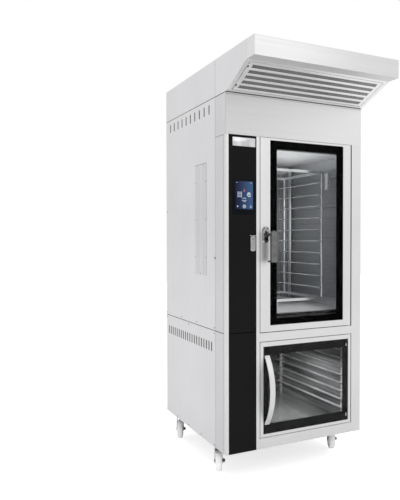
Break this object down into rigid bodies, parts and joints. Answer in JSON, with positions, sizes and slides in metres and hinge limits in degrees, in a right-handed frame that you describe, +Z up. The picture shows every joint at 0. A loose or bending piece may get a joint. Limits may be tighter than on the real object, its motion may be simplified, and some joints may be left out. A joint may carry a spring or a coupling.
{
  "type": "rotary oven",
  "caption": "Free-standing electric rotary rack oven with a glazed door, a touch control column and an extraction hood, on a glass-fronted prover base with castors.",
  "frame": {"origin": "on the floor, below the middle of the whole outline", "axes": "+Z up, -Y towards the user in front of the doors, +X to the user's right"},
  "size_m": [0.923, 1.352, 2.415],
  "materials": {
    "satin_steel": "fine satin stainless sheet",
    "bright_steel": "bright rolled stainless liner and wire",
    "frame_paint": "grey stove enamel on tube and plate",
    "black_glass": "black printed panel with a soft gloss",
    "clear_glass": "toughened float glass with a printed border",
    "screen": "lit touch screen behind cover glass",
    "mirror_plate": "polished plate",
    "chrome": "chrome plate",
    "grey_lever": "grey lacquer",
    "zinc": "zinc plated pressings",
    "white_wheel": "white nylon",
    "silicone": "black silicone",
    "wool": "mineral wool",
    "motor_paint": "dark motor paint",
    "board": "circuit board and switchgear"
  },
  "bodies": {
    "cabinet": {"back_panels": "satin_steel", "base_frame": "frame_paint", "base_side_panels": "satin_steel", "blower_motor": "motor_paint", "castor_plates": "zinc", "cavity_liner": "bright_steel", "control_electronics": "board", "control_glass": "black_glass", "display_unit": "screen", "door_gasket": "silicone", "exhaust_spigot": "zinc", "fan_baffle": "bright_steel", "fan_motor": "motor_paint", "fascia": "satin_steel", "filter_frame": "satin_steel", "flank_panels": "satin_steel", "floor_bearing": "chrome", "front_frame": "satin_steel", "heating_element": "bright_steel", "hinge_pins": "chrome", "hood_filter": "bright_steel", "hood_front_box": "satin_steel", "hood_panels": "satin_steel", "insulation": "wool", "latch_keep": "chrome", "lower_column_panel": "black_glass", "module_decks": "satin_steel", "name_plate": "mirror_plate", "oven_lamp": "clear_glass", "oven_side_panels": "satin_steel", "panel_screws": "chrome", "prover_heater": "silicone", "prover_liner": "bright_steel", "prover_runners": "bright_steel", "rack_drive": "motor_paint", "rear_fittings": "zinc", "side_vent_grille": "satin_steel"},
    "oven_door": {"door_frame": "satin_steel", "door_glass": "clear_glass", "handle_rosette": "chrome"},
    "door_handle": {"door_handle": "grey_lever"},
    "prover_door": {"prover_door_frame": "satin_steel", "prover_glass": "clear_glass", "prover_handle": "satin_steel"},
    "service_flap": {"service_flap": "grey_lever"},
    "rack": {"rack_frame": "bright_steel", "rack_wires": "bright_steel"},
    "convection_fan": {"convection_fan": "bright_steel"},
    "blower_wheel": {"blower_wheel": "zinc"},
    "castor_fork_front_left": {"castor_fork_front_left": "zinc"},
    "castor_wheel_front_left": {"castor_wheel_front_left": "white_wheel"},
    "castor_brake_front_left": {"castor_brake_front_left": "zinc"},
    "castor_fork_front_right": {"castor_fork_front_right": "zinc"},
    "castor_wheel_front_right": {"castor_wheel_front_right": "white_wheel"},
    "castor_brake_front_right": {"castor_brake_front_right": "zinc"},
    "castor_fork_back_left": {"castor_fork_back_left": "zinc"},
    "castor_wheel_back_left": {"castor_wheel_back_left": "white_wheel"},
    "castor_fork_back_right": {"castor_fork_back_right": "zinc"},
    "castor_wheel_back_right": {"castor_wheel_back_right": "white_wheel"}
  },
  "joints": [
    {"name": "oven_door_swing", "type": "hinge", "parent": "cabinet", "child": "oven_door", "pos_m": [0.371, -0.322, 1.38], "axis": [0, 0, 1], "range_deg": [0, 110]},
    {"name": "door_handle_turn", "type": "hinge", "parent": "oven_door", "child": "door_handle", "pos_m": [-0.21, -0.334, 1.382], "axis": [0, -1, 0], "range_deg": [0, 90]},
    {"name": "prover_door_swing", "type": "hinge", "parent": "cabinet", "child": "prover_door", "pos_m": [0.377, -0.325, 0.5], "axis": [0, 0, 1], "range_deg": [0, 110]},
    {"name": "service_flap_lift", "type": "hinge", "parent": "cabinet", "child": "service_flap", "pos_m": [-0.292, -0.337, 1.377], "axis": [-1, 0, 0], "range_deg": [0, 100]},
    {"name": "rack_turn", "type": "hinge", "parent": "cabinet", "child": "rack", "pos_m": [0.0675, 0.0675, 1.38], "axis": [0, 0, 1], "continuous": true},
    {"name": "fan_spin", "type": "hinge", "parent": "cabinet", "child": "convection_fan", "pos_m": [0.0675, 0.466, 1.4], "axis": [0, 1, 0], "continuous": true},
    {"name": "blower_spin", "type": "hinge", "parent": "cabinet", "child": "blower_wheel", "pos_m": [0, 0.366, 2.295], "axis": [0, 0, 1], "continuous": true},
    {"name": "castor_swivel_front_left", "type": "hinge", "parent": "cabinet", "child": "castor_fork_front_left", "pos_m": [-0.398, -0.099, 0.15], "axis": [0, 0, 1], "continuous": true},
    {"name": "castor_roll_front_left", "type": "hinge", "parent": "castor_fork_front_left", "child": "castor_wheel_front_left", "pos_m": [-0.41224, -0.13097, 0.0625], "axis": [0.9135, -0.4067, 0], "continuous": true},
    {"name": "castor_brake_front_left_lift", "type": "hinge", "parent": "castor_fork_front_left", "child": "castor_brake_front_left", "pos_m": [-0.42566, -0.16112, 0.141], "axis": [0.9135, -0.4067, 0], "range_deg": [-15, 0]},
    {"name": "castor_swivel_front_right", "type": "hinge", "parent": "cabinet", "child": "castor_fork_front_right", "pos_m": [0.398, -0.099, 0.15], "axis": [0, 0, 1], "continuous": true},
    {"name": "castor_roll_front_right", "type": "hinge", "parent": "castor_fork_front_right", "child": "castor_wheel_front_right", "pos_m": [0.38376, -0.13097, 0.0625], "axis": [0.9135, -0.4067, 0], "continuous": true},
    {"name": "castor_brake_front_right_lift", "type": "hinge", "parent": "castor_fork_front_right", "child": "castor_brake_front_right", "pos_m": [0.37034, -0.16112, 0.141], "axis": [0.9135, -0.4067, 0], "range_deg": [-15, 0]},
    {"name": "castor_swivel_back_left", "type": "hinge", "parent": "cabinet", "child": "castor_fork_back_left", "pos_m": [-0.398, 0.546, 0.15], "axis": [0, 0, 1], "continuous": true},
    {"name": "castor_roll_back_left", "type": "hinge", "parent": "castor_fork_back_left", "child": "castor_wheel_back_left", "pos_m": [-0.41224, 0.51403, 0.0625], "axis": [0.9135, -0.4067, 0], "continuous": true},
    {"name": "castor_swivel_back_right", "type": "hinge", "parent": "cabinet", "child": "castor_fork_back_right", "pos_m": [0.398, 0.546, 0.15], "axis": [0, 0, 1], "continuous": true},
    {"name": "castor_roll_back_right", "type": "hinge", "parent": "castor_fork_back_right", "child": "castor_wheel_back_right", "pos_m": [0.38376, 0.51403, 0.0625], "axis": [0.9135, -0.4067, 0], "continuous": true}
  ]
}
